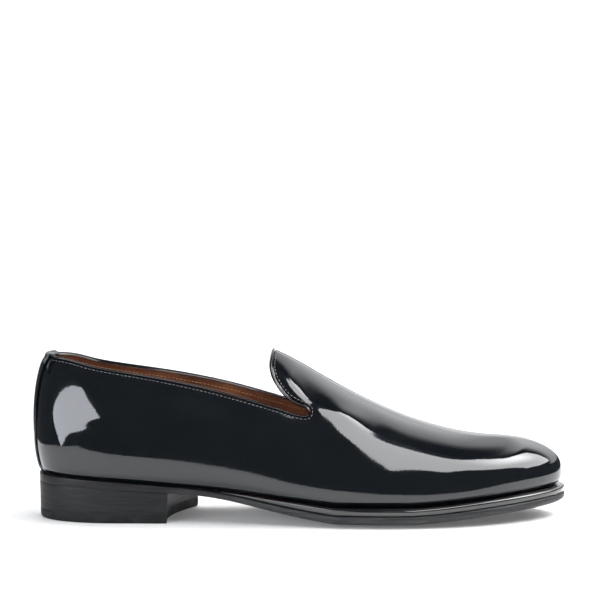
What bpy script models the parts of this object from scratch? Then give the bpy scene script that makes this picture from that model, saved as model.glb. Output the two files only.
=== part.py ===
"""A slipper loafer for the right foot.

The hollow patent upper is worked out from cross-sections of the last. A bound topline, a back stay, an insole,
a welt, an outsole and a stacked heel with a rubber top piece complete it. The toe points to +X, the inner
(medial) side of the foot is +Y, and the shoe stands on Z = 0.
"""
import math

import bmesh
import bpy
import numpy as np

MM = 0.001
LATERAL = -1
MEDIAL = 1

# Driving dimensions in millimetres. Stations run forward from the rearmost bulge of the counter.
SHOE_LENGTH = 302.6
UPPER_BACK = 1.2
UPPER_TIP = 301.0
SOLE_BACK = 3.8
WALL = 2.2
GAP = 0.3

# Where the last's columns stop running straight across the foot and fan out round the heel and the toe
HEEL_CENTRE = 34.0
TOE_CENTRE = 262.0

# Rounding of the outline at both ends, and of the crest over the toe, as superellipses
HEEL_CAP_START = 52.0
HEEL_CAP_POWER = 2.25
TOE_CAP_START = 232.0
TOE_CAP_POWER = 2.15
NOSE_START = 264.0
NOSE_POWER = 2.4

# The last: half-widths at its widest line, that line's height, the crest's height, the pull of the section's
# curve up the side and in over the top, and how far the feather line lies inside the widest line
SECTION_COLUMNS = (
    "station", "lateral", "medial", "equator", "crest", "side", "top", "tuck_lateral", "tuck_medial")
LAST_SECTIONS = (
    (1.2, 34.6, 34.6, 49.0, 105.0, 0.76, 0.71, 4.6, 4.6),
    (34.0, 34.9, 34.6, 41.5, 105.0, 0.42, 0.46, 3.4, 3.4),
    (60.0, 34.9, 34.0, 38.0, 104.0, 0.47, 0.43, 3.2, 3.6),
    (90.0, 35.8, 33.0, 34.0, 107.0, 0.55, 0.48, 4.2, 5.4),
    (115.0, 38.4, 33.6, 28.5, 106.0, 0.60, 0.50, 4.6, 6.2),
    (137.0, 42.2, 36.2, 23.5, 96.2, 0.57, 0.46, 3.8, 5.2),
    (152.0, 44.6, 39.4, 20.0, 87.9, 0.55, 0.45, 3.0, 3.8),
    (166.0, 46.6, 42.6, 18.0, 79.0, 0.55, 0.46, 2.4, 2.8),
    (180.0, 48.2, 45.6, 17.0, 70.3, 0.57, 0.48, 2.1, 2.2),
    (195.0, 48.9, 47.8, 16.5, 62.7, 0.59, 0.51, 1.9, 1.9),
    (209.0, 48.6, 48.8, 16.5, 57.2, 0.61, 0.54, 1.8, 1.8),
    (226.0, 46.8, 48.2, 17.0, 51.9, 0.63, 0.57, 1.7, 1.7),
    (243.0, 44.4, 46.6, 18.6, 47.7, 0.64, 0.59, 1.7, 1.7),
    (260.0, 41.6, 44.0, 21.0, 45.6, 0.63, 0.60, 1.6, 1.6),
    (275.0, 38.2, 41.0, 22.8, 45.0, 0.62, 0.60, 1.5, 1.5),
    (288.0, 35.0, 38.2, 24.2, 44.4, 0.60, 0.58, 1.4, 1.4),
    (301.0, 32.0, 35.2, 25.6, 43.6, 0.58, 0.56, 1.3, 1.3),
)

# The cut edge of the upper, from the heel back to the throat and up the tongue. The foot is the station where
# the mesh line from that point reaches the widest line, heading is the way it sets out in plan, in degrees outward
# of straight ahead, and steps counts the mesh lines to the next row.
RIM_COLUMNS = ("station", "height", "foot", "heading", "steps")
RIM_ROWS = (
    (1.2, 91.0, 1.2, 90, 5),
    (9.0, 90.5, 9.0, 90, 5),
    (34.0, 86.3, 34.0, 90, 5),
    (74.0, 79.7, 74.0, 90, 4),
    (107.0, 72.9, 107.0, 90, 3),
    (129.0, 67.0, 130.0, 85, 2),
    (144.0, 62.4, 148.0, 75, 2),
    (152.5, 60.0, 160.0, 60, 2),
    (157.2, 60.6, 170.0, 25, 2),
    (157.6, 63.4, 183.0, -10, 2),
    (151.4, 67.9, 203.0, -30, 3),
    (144.3, 72.8, 232.0, -22, 2),
    (140.3, 77.9, 252.0, -14, 3),
    (137.6, 83.0, 270.0, -7, 4),
    (136.8, 89.0, 290.0, -2, 5),
    (138.4, 94.3, 301.0, 0, 0),
)
LAST_REAR_ROW = 4
UPPER_SIDE_ROWS = 10
UPPER_TUCK_ROWS = 3
TUCK_ANGLE = math.radians(62)
ROUTE_POWER = 1.8
ROUTE_REACH = 0.45

# The bottom: half-widths of its edge, height of the walking face on the centre line, lift of its edge above
# that, thickness of the outsole at its edge, and the rise of the welt's top above the outsole
SOLE_COLUMNS = ("station", "lateral", "medial", "bottom", "crown", "thickness", "rise")
SOLE_SECTIONS = (
    (3.8, 31.2, 31.2, 20.6, 0.0, 4.6, 0.0),
    (40.0, 32.6, 32.4, 19.2, 0.0, 4.4, 0.0),
    (60.0, 32.8, 31.6, 18.2, 0.0, 4.0, 0.0),
    (76.0, 32.6, 30.0, 17.2, 0.0, 3.6, 0.0),
    (96.0, 32.6, 27.6, 15.2, 0.2, 3.4, 0.4),
    (110.0, 33.6, 27.0, 12.8, 0.5, 3.5, 1.2),
    (122.0, 35.8, 27.8, 10.0, 1.0, 3.6, 2.1),
    (134.0, 38.8, 30.2, 7.0, 1.5, 3.8, 3.0),
    (147.0, 42.4, 34.4, 4.0, 2.0, 4.1, 3.8),
    (160.0, 46.0, 39.4, 1.6, 2.3, 4.3, 4.2),
    (172.0, 48.8, 43.8, 0.0, 2.4, 4.4, 4.3),
    (193.0, 51.5, 49.2, -0.7, 2.4, 4.4, 4.3),
    (214.0, 51.2, 51.5, 0.0, 2.4, 4.4, 4.3),
    (232.0, 48.9, 50.7, 1.4, 2.2, 4.4, 4.3),
    (249.0, 46.2, 48.8, 3.4, 1.8, 4.4, 4.3),
    (266.0, 43.0, 45.8, 5.4, 1.3, 4.4, 4.3),
    (284.0, 38.8, 41.8, 7.3, 0.8, 4.4, 4.3),
    (302.6, 34.6, 37.4, 9.3, 0.3, 4.4, 4.3),
)
FLAT_SHARE = 0.45
SOLE_STEPS = 34
SOLE_RINGS = (0.0, 0.45, 0.72, 0.88)

# Edge rounding as (share of the height, inset in millimetres), top to bottom
OUTSOLE_EDGE = ((1.0, 1.3), (0.82, 0.3), (0.5, 0.0), (0.2, 0.35), (0.0, 1.5))
WELT_EDGE = ((1.0, 1.6), (0.82, 0.45), (0.5, 0.0), (0.18, 0.45), (0.0, 1.5))
HEEL_EDGE = ((1.0, 0.5), (0.9, 0.0), (0.1, 0.0), (0.0, 0.4))
TOP_PIECE_EDGE = ((1.0, 0.4), (0.88, 0.0), (0.25, 0.1), (0.0, 0.9))
INSOLE_EDGE = ((1.0, 0.5), (0.7, 0.0), (0.0, 0.0))

WELT_START = 108.0
WELT_INNER = 0.80
INSOLE_EDGE_SHARE = 0.81
INSOLE_WELL_SHARE = 0.72
INSOLE_STEP_SHARE = 0.775
INSOLE_RIM_HEIGHT = 2.2

# Stations where the bottom is widest on either side
WIDEST_LATERAL = 193.0
WIDEST_MEDIAL = 214.0

# The heel: the front corners of its concave breast, how deep the curve is, and the rubber layer
BREAST_LATERAL = 78.2
BREAST_MEDIAL = 93.0
BREAST_HOLLOW = 5.0
BREAST_STEPS = 8
HEEL_CORNER = 3.0
HEEL_MIDDLE = 44.0
HEEL_RINGS = (0.0, 0.6)
TOP_PIECE_HEIGHT = 5.2
HEEL_TAPER = 0.4

# The bound edge, a rounded bead that caps the cut edge of the wall
BEAD_OVERHANG = 0.35
BEAD_HALF_HEIGHT = 0.8
BEAD_SIDES = 8

# The strip that covers the back seam and folds over the topline. Its reach to either side is counted in mesh lines
# of the upper, its depth inside in mesh rows, and its lower end is lifted by a share of the lowest row.
STAY_REACH = 3
STAY_FOOT_SHARE = 0.75
STAY_FOOT_LIFT = 0.1
STAY_THICKNESS = 0.8
STAY_FOLD_STEPS = 6
STAY_INSIDE_ROWS = 2

# Working limits: rounds of a search, samples along an outline, the step to take a slope over, the least distance
# between mesh lines, and the distance within which points are one
BISECTION_ROUNDS = 40
OUTLINE_SAMPLES = 1500
SLOPE_STEP = 0.05
LEAST_STEP = 1.0
WELD = 0.02
SHARP_ANGLE = math.radians(40)

FINISHES = {
    "patent_leather": ((0.006, 0.008, 0.010), 0.06),
    "sole_edge": ((0.030, 0.031, 0.033), 0.32),
    "heel_leather": ((0.028, 0.029, 0.031), 0.38),
    "heel_rubber": ((0.022, 0.023, 0.023), 0.55),
    "insole_leather": ((0.200, 0.075, 0.025), 0.50),
}


def smooth_curve(stations, values):
    """Natural cubic spline through the rows of a table, as a function of the station."""
    knots = np.asarray(stations, float)
    levels = np.asarray(values, float)
    gaps = np.diff(knots)
    slopes = np.diff(levels) / gaps
    system = np.eye(len(knots))
    target = np.zeros(len(knots))
    for row in range(1, len(knots) - 1):
        system[row, row - 1:row + 2] = gaps[row - 1], 2 * (gaps[row - 1] + gaps[row]), gaps[row]
        target[row] = 6 * (slopes[row] - slopes[row - 1])
    bends = np.linalg.solve(system, target)

    def value(station):
        station = np.clip(station, knots[0], knots[-1])
        cell = np.clip(np.searchsorted(knots, station, side="right") - 1, 0, len(gaps) - 1)
        ahead = (station - knots[cell]) / gaps[cell]
        behind = 1 - ahead
        swell = (behind ** 3 - behind) * bends[cell] + (ahead ** 3 - ahead) * bends[cell + 1]
        return behind * levels[cell] + ahead * levels[cell + 1] + swell * gaps[cell] ** 2 / 6

    return value


def table_curves(columns, rows):
    """One smooth function of the station for each column of a table."""
    table = np.array(rows, float)
    return {name: smooth_curve(table[:, 0], table[:, index]) for index, name in enumerate(columns) if index}


LAST = table_curves(SECTION_COLUMNS, LAST_SECTIONS)
SOLE = table_curves(SOLE_COLUMNS, SOLE_SECTIONS)
RIM = dict(zip(RIM_COLUMNS, np.array(RIM_ROWS, float).T))
REAR_END = RIM["foot"][LAST_REAR_ROW]
CENTRE_LINE = (SOLE["medial"](WIDEST_MEDIAL) - SOLE["lateral"](WIDEST_LATERAL)) / 2


def side_name(side):
    return "medial" if side == MEDIAL else "lateral"


def end_cap(station, start, end, power):
    """Falls from 1 at the start to 0 at the end, as a superellipse does."""
    share = np.clip((np.asarray(station, float) - start) / (end - start), 0, 1)
    return (1 - share ** power) ** (1 / power)


def last_width(station, side):
    """Half-width of the last at its widest line."""
    heel = end_cap(station, HEEL_CAP_START, UPPER_BACK, HEEL_CAP_POWER)
    toe = end_cap(station, TOE_CAP_START, UPPER_TIP, TOE_CAP_POWER)
    return LAST[side_name(side)](station) * heel * toe


def sole_width(station, side):
    heel = end_cap(station, HEEL_CAP_START, SOLE_BACK, HEEL_CAP_POWER)
    toe = end_cap(station, TOE_CAP_START, SHOE_LENGTH, TOE_CAP_POWER)
    return SOLE[side_name(side)](station) * heel * toe


def crest_height(station):
    nose = end_cap(station, NOSE_START, UPPER_TIP, NOSE_POWER)
    return LAST["equator"](station) + (LAST["crest"](station) - LAST["equator"](station)) * nose


def sole_bottom(station):
    """Walking face on the centre line, flat on the floor under the ball."""
    return np.maximum(SOLE["bottom"](station), 0.0)


def outsole_top(station):
    return sole_bottom(station) + SOLE["crown"](station) + SOLE["thickness"](station)


def welt_top(station):
    return outsole_top(station) + SOLE["rise"](station)


def feather_height(station):
    """Bottom edge of the upper, just clear of the welt or the outsole."""
    return welt_top(station) + GAP


def section_curve(share, side_pull, top_pull):
    """Width and height of a section, both from 0 to 1, along a cubic from the widest line to the crest."""
    rest = 1 - share
    width = rest ** 3 + 3 * rest ** 2 * share + 3 * rest * share ** 2 * top_pull
    height = 3 * rest ** 2 * share * side_pull + 3 * rest * share ** 2 + share ** 3
    return width, height


def find_share(station, wanted, use_height):
    """Share along a section's curve at which its width or height has the wanted value."""
    wanted = np.asarray(wanted, float)
    side_pull, top_pull = LAST["side"](station), LAST["top"](station)
    low = np.zeros_like(wanted)
    high = np.ones_like(wanted)
    for _ in range(BISECTION_ROUNDS):
        middle = (low + high) / 2
        width, height = section_curve(middle, side_pull, top_pull)
        go_up = height < wanted if use_height else width > wanted
        low = np.where(go_up, middle, low)
        high = np.where(go_up, high, middle)
    return (low + high) / 2


def share_at_height(station, height):
    equator = LAST["equator"](station)
    return find_share(station, (height - equator) / (crest_height(station) - equator), True)


def last_point(station, side, share):
    """Point of the last on the column that starts at a station of the widest line."""
    width, rise = section_curve(share, LAST["side"](station), LAST["top"](station))
    spine = max(station, HEEL_CENTRE)
    equator = LAST["equator"](station)
    crest = crest_height(spine)
    return np.stack([
        spine + (station - spine) * width,
        side * last_width(station, side) * width,
        equator + (crest - equator) * rise], axis=-1)


def rear_line(foot, height, side, rows):
    """Mesh line up the counter or quarter, from the widest line to the cut edge."""
    spine = max(foot, HEEL_CENTRE)
    equator = LAST["equator"](foot)
    share = find_share(foot, (height - equator) / (crest_height(spine) - equator), True)
    return last_point(foot, side, np.linspace(0, 1, rows + 1) * share)


def front_line(station, height, foot, heading, side, rows):
    """Mesh line over the vamp from the widest line to the cut edge, curved in plan so that it leaves throat and
    tongue squarely."""
    rim_share = share_at_height(station, height)
    rim_width = section_curve(rim_share, LAST["side"](station), LAST["top"](station))[0]
    rim_offset = last_width(station, side) * rim_width
    travel = np.linspace(0, 1, rows + 1) ** ROUTE_POWER
    foot_offset = last_width(foot, side)
    reach = ROUTE_REACH * math.hypot(foot - station, foot_offset - rim_offset)
    pull_along = station + reach * math.cos(heading)
    pull_across = rim_offset + reach * math.sin(heading)
    near, middle, far = travel ** 2, 2 * travel * (1 - travel), (1 - travel) ** 2
    along = near * station + middle * pull_along + far * foot
    across = near * rim_offset + middle * pull_across + far * foot_offset
    half_width = np.maximum(last_width(along, side), WELD)
    share = find_share(along, np.clip(across / half_width, 0, 1), False)
    share[0] = 0.0
    equator = LAST["equator"](along)
    rise = section_curve(share, LAST["side"](along), LAST["top"](along))[1]
    heights = equator + (crest_height(along) - equator) * rise
    return np.stack([along, side * across, heights], axis=-1)


def outline_normal(station, side):
    """Outward direction in plan at the widest line."""
    behind = max(station - SLOPE_STEP, UPPER_BACK)
    ahead = min(station + SLOPE_STEP, UPPER_TIP)
    run = ahead - behind
    climb = last_width(ahead, side) - last_width(behind, side)
    return np.array([-climb, side * run]) / math.hypot(run, climb)


def tuck_line(foot, side, rows):
    """Mesh line under the widest line, curving in to the feather edge."""
    normal = outline_normal(foot, side)
    start = np.array([foot, side * last_width(foot, side)])
    tuck = LAST["tuck_" + side_name(side)](foot)
    angles = TUCK_ANGLE * np.linspace(1, 0, rows + 1)[:-1]
    inset = tuck * (1 - np.cos(angles)) / (1 - math.cos(TUCK_ANGLE))
    plan = start[None, :] - inset[:, None] * normal[None, :]
    feather = feather_height(start[0] - tuck * normal[0])
    drop = (LAST["equator"](foot) - feather) * np.sin(angles) / math.sin(TUCK_ANGLE)
    return np.column_stack([plan, LAST["equator"](foot) - drop])


def outline_arc(width, back, tip):
    """Stations along an outline from heel to toe, and the length of outline up to each."""
    stations = back + (tip - back) * (1 - np.cos(np.linspace(0, math.pi, OUTLINE_SAMPLES))) / 2
    widths = width(stations, LATERAL)
    arc = np.concatenate([[0], np.cumsum(np.hypot(np.diff(stations), np.diff(widths)))])
    return stations, arc


def rim_curve():
    """Station, height, foot and heading of each mesh line on one side, from the heel back to the tongue's tip."""
    index = np.arange(len(RIM_ROWS))
    marks = [row + np.arange(steps) / steps for row, steps in enumerate(RIM["steps"][:-1])]
    marks = np.concatenate(marks + [index[-1:]])
    stations, arc = outline_arc(last_width, UPPER_BACK, UPPER_TIP)
    foot = np.interp(np.interp(marks, index, np.interp(RIM["foot"], stations, arc)), arc, stations)
    travel = np.cumsum(np.hypot(np.diff(RIM["station"], prepend=UPPER_BACK), np.diff(RIM["height"], prepend=0.0)))
    spot = np.interp(marks, index, travel)
    rear = foot <= REAR_END
    spot = np.where(rear, np.interp(foot, RIM["foot"], travel), spot)
    station = np.where(rear, foot, smooth_curve(travel, RIM["station"])(spot))
    heading = np.radians(np.interp(spot, travel, RIM["heading"]))
    return station, smooth_curve(travel, RIM["height"])(spot), foot, heading


def upper_line(station, height, foot, heading, side):
    """One whole mesh line of the upper, from the feather edge to the cut edge."""
    if foot <= REAR_END:
        wall = rear_line(foot, height, side, UPPER_SIDE_ROWS)
    else:
        wall = front_line(station, height, foot, heading, side, UPPER_SIDE_ROWS)
    return np.concatenate([tuck_line(foot, side, UPPER_TUCK_ROWS), wall])


def upper_grid():
    """Closed ring of mesh lines: heel back, lateral side, toe, medial side."""
    rows = list(zip(*rim_curve()))
    lateral = [upper_line(*row, LATERAL) for row in rows]
    medial = [upper_line(*row, MEDIAL) for row in rows[1:-1]]
    return np.array(lateral + medial[::-1])


def grid_normals(grid):
    """Outward unit normals of a grid whose first index runs round the shoe and second one up."""
    around = np.roll(grid, -1, axis=0) - np.roll(grid, 1, axis=0)
    upward = np.gradient(grid, axis=1)
    normals = np.cross(around, upward)
    return normals / np.linalg.norm(normals, axis=-1, keepdims=True)


def upper_frame():
    """Outer face of the upper, its normals, and the way that points off its rim, square to rim and normal."""
    grid = upper_grid()
    normals = grid_normals(grid)
    along = np.roll(grid[:, -1], -1, axis=0) - np.roll(grid[:, -1], 1, axis=0)
    rim_way = np.cross(normals[:, -1], along)
    rim_way /= np.linalg.norm(rim_way, axis=-1, keepdims=True)
    return grid, normals, rim_way


def make_object(name, points, faces, finish):
    """Mesh object in metres, with the shoe's length and width centred on the origin."""
    mesh = bpy.data.meshes.new(name)
    centred = (np.asarray(points) - [SHOE_LENGTH / 2, CENTRE_LINE, 0.0]) * MM
    mesh.from_pydata(centred.tolist(), [], faces)
    edit = bmesh.new()
    edit.from_mesh(mesh)
    bmesh.ops.remove_doubles(edit, verts=edit.verts, dist=WELD * MM)
    bmesh.ops.recalc_face_normals(edit, faces=edit.faces)
    edit.to_mesh(mesh)
    edit.free()
    mesh.shade_smooth()
    mesh.set_sharp_from_angle(angle=SHARP_ANGLE)
    piece = bpy.data.objects.new(name, mesh)
    bpy.context.scene.collection.objects.link(piece)
    piece.data.materials.append(finish_material(finish))
    return piece


def finish_material(name):
    if name in bpy.data.materials:
        return bpy.data.materials[name]
    colour, roughness = FINISHES[name]
    material = bpy.data.materials.new(name)
    material.use_nodes = True
    shader = material.node_tree.nodes["Principled BSDF"]
    shader.inputs["Base Color"].default_value = (*colour, 1.0)
    shader.inputs["Roughness"].default_value = roughness
    shader.inputs["Metallic"].default_value = 0.0
    return material


def ring_faces(loops, size, closed_stack=False):
    """Quads between successive loops of equal size, numbered one loop after another."""
    faces = []
    for loop in range(loops if closed_stack else loops - 1):
        below, above = loop * size, (loop + 1) % loops * size
        for spot in range(size):
            after = (spot + 1) % size
            faces.append((below + spot, below + after, above + after, above + spot))
    return faces


def grid_shell(inner, outer, closed_round):
    """Points and faces of a sheet between two grids of the same shape, closed at all its edges."""
    lines, rows = outer.shape[:2]
    points = np.concatenate([outer.reshape(-1, 3), inner.reshape(-1, 3)])
    offset = lines * rows
    faces = []
    for line in range(lines if closed_round else lines - 1):
        after = (line + 1) % lines
        for row in range(rows - 1):
            near, far = line * rows + row, after * rows + row
            faces.append((near, far, far + 1, near + 1))
            faces.append((offset + near, offset + near + 1, offset + far + 1, offset + far))
        for row in (0, rows - 1):
            near, far = line * rows + row, after * rows + row
            faces.append((near, far, offset + far, offset + near))
    if not closed_round:
        for line in (0, lines - 1):
            for row in range(rows - 1):
                spot = line * rows + row
                faces.append((spot, spot + 1, offset + spot + 1, offset + spot))
    return points, faces


def make_upper(grid, normals):
    points, faces = grid_shell(grid - WALL * normals, grid, True)
    return make_object("upper", points, faces, "patent_leather")


def bead_centres(grid, normals, rim_way):
    middle = grid[:, -1] - normals[:, -1] * WALL / 2
    return middle + rim_way * (GAP + BEAD_HALF_HEIGHT)


def make_topline_binding(grid, normals, rim_way):
    """Rounded bead all round the opening, just clear of the wall's cut edge."""
    centres = bead_centres(grid, normals, rim_way)
    half_width = WALL / 2 + BEAD_OVERHANG
    loops = []
    for side in range(BEAD_SIDES):
        angle = 2 * math.pi * (side + 0.5) / BEAD_SIDES
        out = half_width * math.cos(angle) / math.cos(math.pi / BEAD_SIDES)
        up = BEAD_HALF_HEIGHT * math.sin(angle) / math.cos(math.pi / BEAD_SIDES)
        loops.append(centres + normals[:, -1] * out + rim_way * up)
    faces = ring_faces(BEAD_SIDES, len(centres), True)
    return make_object("topline_binding", np.concatenate(loops), faces, "patent_leather")


def between_lines(values, spot):
    """Values of the upper's grid at a fractional mesh line, row by row."""
    rows = np.arange(values.shape[1])
    line = np.floor(spot).astype(int)
    ahead = (spot - line)[:, None]
    size = len(values)
    return values[line % size, rows] * (1 - ahead) + values[(line + 1) % size, rows] * ahead


def make_back_stay(grid, normals, rim_way):
    """Strip up the counter that folds over the bound edge and ends inside."""
    bases, ways = [], []
    narrowing = np.linspace(STAY_FOOT_SHARE, 1, grid.shape[1])
    for reach in range(-STAY_REACH, STAY_REACH + 1):
        line = between_lines(grid, reach * narrowing)
        outward = between_lines(normals, reach * narrowing)
        out, up = outward[-1], rim_way[reach]
        centre = line[-1] - out * WALL / 2 + up * (GAP + BEAD_HALF_HEIGHT)
        base, way = list(line[:-1]), list(outward[:-1])
        base[0] = line[0] + (line[1] - line[0]) * STAY_FOOT_LIFT
        for turn in np.linspace(0, math.pi, STAY_FOLD_STEPS + 1):
            across, lift = math.cos(turn) * out, math.sin(turn) * up
            base.append(centre + across * (WALL / 2 + BEAD_OVERHANG) + lift * BEAD_HALF_HEIGHT)
            way.append(across + lift)
        for row in range(-2, -2 - STAY_INSIDE_ROWS, -1):
            base.append(line[row] - outward[row] * (WALL + BEAD_OVERHANG))
            way.append(-outward[row])
        bases.append(base)
        ways.append(way)
    bases, ways = np.array(bases), np.array(ways)
    inner = bases + ways * GAP
    outer = bases + ways * (GAP + STAY_THICKNESS)
    points, faces = grid_shell(inner, outer, False)
    return make_object("back_stay", points, faces, "patent_leather")


def fan_point(station, side, share, inset=0.0):
    """Point of the bottom at a share of the way from its spine to its edge."""
    spine = min(max(station, HEEL_CENTRE), TOE_CENTRE)
    edge = np.array([station, side * sole_width(station, side)])
    core = np.array([spine, 0.0])
    reach = np.linalg.norm(edge - core)
    return core + (edge - core) * (share - inset / reach)


def sole_lines():
    """Stations of the bottom's mesh lines, at even distances along its edge."""
    stations, arc = outline_arc(sole_width, SOLE_BACK, SHOE_LENGTH)
    return np.interp(np.linspace(0, arc[-1], SOLE_STEPS + 1), arc, stations)


def sole_loop(share, inset, height):
    """Closed loop round the bottom: heel back, lateral side, toe, medial side."""
    stations = sole_lines()
    loop = [fan_point(station, LATERAL, share, inset) for station in stations]
    loop += [fan_point(station, MEDIAL, share, inset) for station in stations[-2:0:-1]]
    return [(x, y, height(x, share)) for x, y in loop]


def crowned_bottom(station, share):
    lift = max(0.0, (share - FLAT_SHARE) / (1 - FLAT_SHARE)) ** 2
    return sole_bottom(station) + SOLE["crown"](station) * lift


def plate_object(name, finish, rings, top, bottom, edge, edge_share):
    """Plate of the sole's outline, from its top face over a rounded edge to its lower face."""
    loops = [sole_loop(share, 0.0, top) for share in rings]
    for height_share, inset in edge:
        def edge_height(x, share, height_share=height_share):
            return bottom(x, share) + (top(x, share) - bottom(x, share)) * height_share
        loops.append(sole_loop(edge_share, inset, edge_height))
    loops += [sole_loop(share, 0.0, bottom) for share in rings[::-1]]
    faces = ring_faces(len(loops), len(loops[0]))
    return make_object(name, np.concatenate(loops), faces, finish)


def make_outsole():
    def top(station, share):
        return outsole_top(station)
    return plate_object("outsole", "sole_edge", SOLE_RINGS, top, crowned_bottom, OUTSOLE_EDGE, 1.0)


def make_insole():
    """Footbed that rests on the outsole and, forward of the waist, steps up over the welt."""
    def top(station, share):
        return feather_height(station) + INSOLE_RIM_HEIGHT

    def bottom(station, share):
        well = outsole_top(station) + GAP
        return well if share <= INSOLE_WELL_SHARE else feather_height(station)
    rings = (0.0, FLAT_SHARE, INSOLE_WELL_SHARE, INSOLE_STEP_SHARE)
    return plate_object("insole", "insole_leather", rings, top, bottom, INSOLE_EDGE, INSOLE_EDGE_SHARE)


def make_welt():
    """Strip between upper and outsole from the lateral waist round the toe to the medial waist."""
    stations = [WELT_START] + [station for station in sole_lines() if station > WELT_START + LEAST_STEP]
    route = [(station, LATERAL) for station in stations]
    route += [(station, MEDIAL) for station in stations[-2::-1]]
    sections = []
    for station, side in route:
        ring = []
        for height_share, inset in WELT_EDGE:
            x, y = fan_point(station, side, 1.0, inset)
            low = outsole_top(x) + GAP
            ring.append((x, y, low + (welt_top(x) - low) * height_share))
        x, y = fan_point(station, side, WELT_INNER)
        ring += [(x, y, outsole_top(x) + GAP), (x, y, welt_top(x))]
        sections.append(ring)
    size = len(sections[0])
    faces = ring_faces(len(sections), size)
    faces.append(tuple(range(size)))
    faces.append(tuple((len(sections) - 1) * size + spot for spot in range(size)))
    return make_object("welt", np.concatenate(sections), faces, "sole_edge")


def heel_outline():
    """Plan of the heel: round the back from the lateral corner to the medial one, then the concave breast."""
    back = [station for station in sole_lines() if SOLE_BACK < station < BREAST_LATERAL - HEEL_CORNER]
    lateral = [(s, LATERAL * sole_width(s, LATERAL)) for s in back[::-1]]
    medial = [(s, MEDIAL * sole_width(s, MEDIAL)) for s in back]
    corner_lateral = np.array([BREAST_LATERAL, LATERAL * sole_width(BREAST_LATERAL, LATERAL)])
    corner_medial = np.array([BREAST_MEDIAL, MEDIAL * sole_width(BREAST_MEDIAL, MEDIAL)])
    breast = []
    for share in np.linspace(0, 1, BREAST_STEPS + 1):
        chord = corner_medial + (corner_lateral - corner_medial) * share
        breast.append((chord[0] - BREAST_HOLLOW * 4 * share * (1 - share), chord[1]))
    return np.array([(SOLE_BACK, 0.0)] + medial + breast + lateral)


def heel_object(name, finish, top, bottom, edge, taper_top, taper_bottom):
    """Heel layer with its rounded edge, drawn in towards the floor by the taper."""
    outline = heel_outline()
    middle = np.array([HEEL_MIDDLE, 0.0])
    rays = outline - middle
    reach = np.linalg.norm(rays, axis=1, keepdims=True)

    def loop(share, inset, height_share):
        taper = taper_bottom + (taper_top - taper_bottom) * height_share
        plan = middle + rays * share * (1 - (inset + taper) / reach)
        low, high = bottom(plan[:, 0]), top(plan[:, 0])
        return np.column_stack([plan, low + (high - low) * height_share])

    loops = [loop(share, 0.0, 1.0) for share in HEEL_RINGS]
    loops += [loop(1.0, inset, height_share) for height_share, inset in edge]
    loops += [loop(share, 0.0, 0.0) for share in HEEL_RINGS[::-1]]
    faces = ring_faces(len(loops), len(outline))
    return make_object(name, np.concatenate(loops), faces, finish)


def level(height):
    """A flat face at one height."""
    return lambda stations: np.full(len(stations), height)


def make_heel_stack():
    def top(stations):
        return sole_bottom(stations) - GAP
    return heel_object("heel_stack", "heel_leather", top, level(TOP_PIECE_HEIGHT + GAP), HEEL_EDGE, 0.0, HEEL_TAPER)


def make_heel_top_piece():
    return heel_object(
        "heel_top_piece", "heel_rubber", level(TOP_PIECE_HEIGHT), level(0.0), TOP_PIECE_EDGE, HEEL_TAPER, HEEL_TAPER)


def main():
    for thing in list(bpy.data.objects):
        bpy.data.objects.remove(thing, do_unlink=True)
    grid, normals, rim_way = upper_frame()
    make_upper(grid, normals)
    make_topline_binding(grid, normals, rim_way)
    make_back_stay(grid, normals, rim_way)
    make_insole()
    make_welt()
    make_outsole()
    make_heel_stack()
    make_heel_top_piece()


main()
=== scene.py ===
"""Dresses the slipper loafer: patent upper, lining, binding, stitching, sole edges, heel and studio light."""
import math

import bmesh
import bpy
import numpy as np
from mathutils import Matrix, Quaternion, Vector


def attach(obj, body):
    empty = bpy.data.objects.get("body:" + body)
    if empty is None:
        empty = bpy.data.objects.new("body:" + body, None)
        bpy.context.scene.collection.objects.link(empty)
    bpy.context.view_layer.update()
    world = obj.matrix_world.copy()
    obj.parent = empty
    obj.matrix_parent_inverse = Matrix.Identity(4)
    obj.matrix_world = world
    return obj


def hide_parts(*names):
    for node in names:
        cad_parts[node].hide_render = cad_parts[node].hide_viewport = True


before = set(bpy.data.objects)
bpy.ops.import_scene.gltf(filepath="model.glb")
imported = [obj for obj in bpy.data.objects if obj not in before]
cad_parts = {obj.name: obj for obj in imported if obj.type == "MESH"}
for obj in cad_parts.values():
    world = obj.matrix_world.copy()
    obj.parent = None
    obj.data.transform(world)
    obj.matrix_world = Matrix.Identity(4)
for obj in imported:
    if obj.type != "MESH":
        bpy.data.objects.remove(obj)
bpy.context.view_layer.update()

MM = 0.001
LATERAL = -1
MEDIAL = 1

# Driving dimensions of the shoe in millimetres, as in the solids. Stations run forward from the heel.
SHOE_LENGTH = 302.6
UPPER_BACK = 1.2
UPPER_TIP = 301.0
SOLE_BACK = 3.8
WALL = 2.2
PATENT_THICKNESS = 1.1
LINING_GAP = 0.1
GAP = 0.3
HEEL_CENTRE = 34.0
TOE_CENTRE = 262.0
SPINE_SOFTNESS = 3.0

# Rounding of the outline at both ends, and of the crest over the toe, as superellipses
HEEL_CAP_START = 52.0
HEEL_CAP_POWER = 2.25
TOE_CAP_START = 232.0
TOE_CAP_POWER = 2.15
NOSE_START = 264.0
NOSE_POWER = 2.4

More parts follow.
